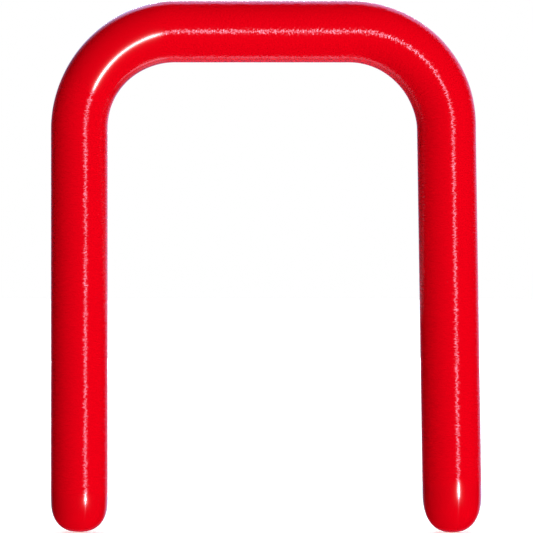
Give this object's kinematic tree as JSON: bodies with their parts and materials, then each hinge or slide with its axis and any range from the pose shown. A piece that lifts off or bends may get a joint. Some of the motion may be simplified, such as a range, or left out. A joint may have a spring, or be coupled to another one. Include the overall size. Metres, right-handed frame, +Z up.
{
  "type": "post driver bow handle",
  "caption": "U-shaped bow handle for a post driver: a bent steel tube with domed, welded end plugs under a thick glossy red dip coating.",
  "frame": {"origin": "bottom centre of the box that the coated handle fills, level with the tips of its legs", "axes": "+X from the left leg to the right leg, +Y through the handle's thickness away from its front, +Z up the legs towards the bar"},
  "size_m": [0.206, 0.03, 0.2543],
  "materials": {
    "red_coat": "glossy dipped PVC with a fine orange peel",
    "tube_steel": "drawn and bent tube, blasted before dipping",
    "plug_steel": "turned",
    "weld_steel": "weld bead ground flush"
  },
  "bodies": {
    "root": {"bent_tube": "tube_steel", "left_end_plug": "plug_steel", "right_end_plug": "plug_steel", "left_weld_ring": "weld_steel", "right_weld_ring": "weld_steel", "dip_coating": "red_coat"}
  },
  "joints": []
}
